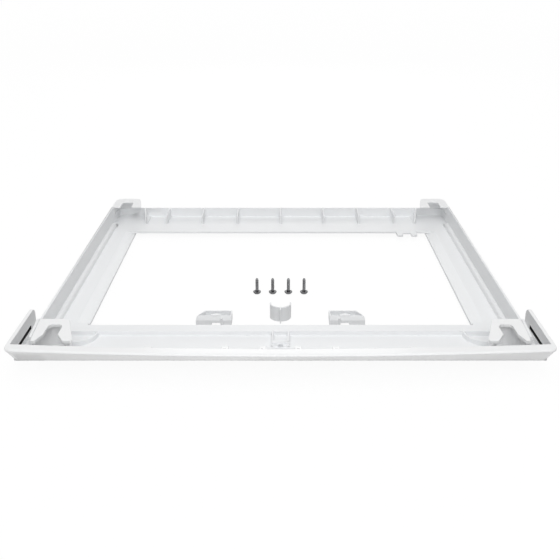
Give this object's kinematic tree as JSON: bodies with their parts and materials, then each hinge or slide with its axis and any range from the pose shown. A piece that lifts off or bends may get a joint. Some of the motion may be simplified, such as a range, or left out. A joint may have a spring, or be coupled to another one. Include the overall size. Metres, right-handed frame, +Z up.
{
  "type": "washer dryer stacking kit",
  "caption": "Rectangular white plastic frame that ties a tumble dryer to the washing machine below, with foot slots, rear hoods, loose lock brackets, hose clip and screws.",
  "frame": {"origin": "middle of the kit's base, on the surface it stands on", "axes": "+X to the right across the front, +Y from the front trim to the back, +Z up"},
  "size_m": [0.596, 0.58, 0.04],
  "materials": {
    "frame_plastic": "fine satin moulded white plastic",
    "trim_plastic": "smooth satin white plastic",
    "holder_plastic": "fine satin moulded white plastic",
    "loose_plastic": "fine satin moulded light grey white plastic",
    "pad_rubber": "matte rubber",
    "screw_steel": "dark zinc-plated steel"
  },
  "bodies": {
    "frame": {"base_frame": "frame_plastic", "front_trim": "trim_plastic", "foot_holder_left": "holder_plastic", "foot_holder_right": "holder_plastic", "rear_hood_left": "holder_plastic", "rear_hood_right": "holder_plastic", "grip_pad_front_left": "pad_rubber", "grip_pad_front_right": "pad_rubber", "grip_pad_rear_left": "pad_rubber", "grip_pad_rear_right": "pad_rubber"},
    "lock_bracket_left": {"lock_bracket_left": "loose_plastic"},
    "lock_bracket_right": {"lock_bracket_right": "loose_plastic"},
    "hose_clip": {"hose_clip": "loose_plastic"},
    "screw_1": {"screw_1": "screw_steel"},
    "screw_2": {"screw_2": "screw_steel"},
    "screw_3": {"screw_3": "screw_steel"},
    "screw_4": {"screw_4": "screw_steel"}
  },
  "joints": [
    {"name": "lock_bracket_left_lift", "type": "slide", "parent": "frame", "child": "lock_bracket_left", "axis": [0, 0, 1], "range_m": [0, 0.1]},
    {"name": "lock_bracket_right_lift", "type": "slide", "parent": "frame", "child": "lock_bracket_right", "axis": [0, 0, 1], "range_m": [0, 0.1]},
    {"name": "hose_clip_lift", "type": "slide", "parent": "frame", "child": "hose_clip", "axis": [0, 0, 1], "range_m": [0, 0.1]},
    {"name": "screw_1_lift", "type": "slide", "parent": "frame", "child": "screw_1", "axis": [0, 0, 1], "range_m": [0, 0.1]},
    {"name": "screw_2_lift", "type": "slide", "parent": "frame", "child": "screw_2", "axis": [0, 0, 1], "range_m": [0, 0.1]},
    {"name": "screw_3_lift", "type": "slide", "parent": "frame", "child": "screw_3", "axis": [0, 0, 1], "range_m": [0, 0.1]},
    {"name": "screw_4_lift", "type": "slide", "parent": "frame", "child": "screw_4", "axis": [0, 0, 1], "range_m": [0, 0.1]}
  ]
}
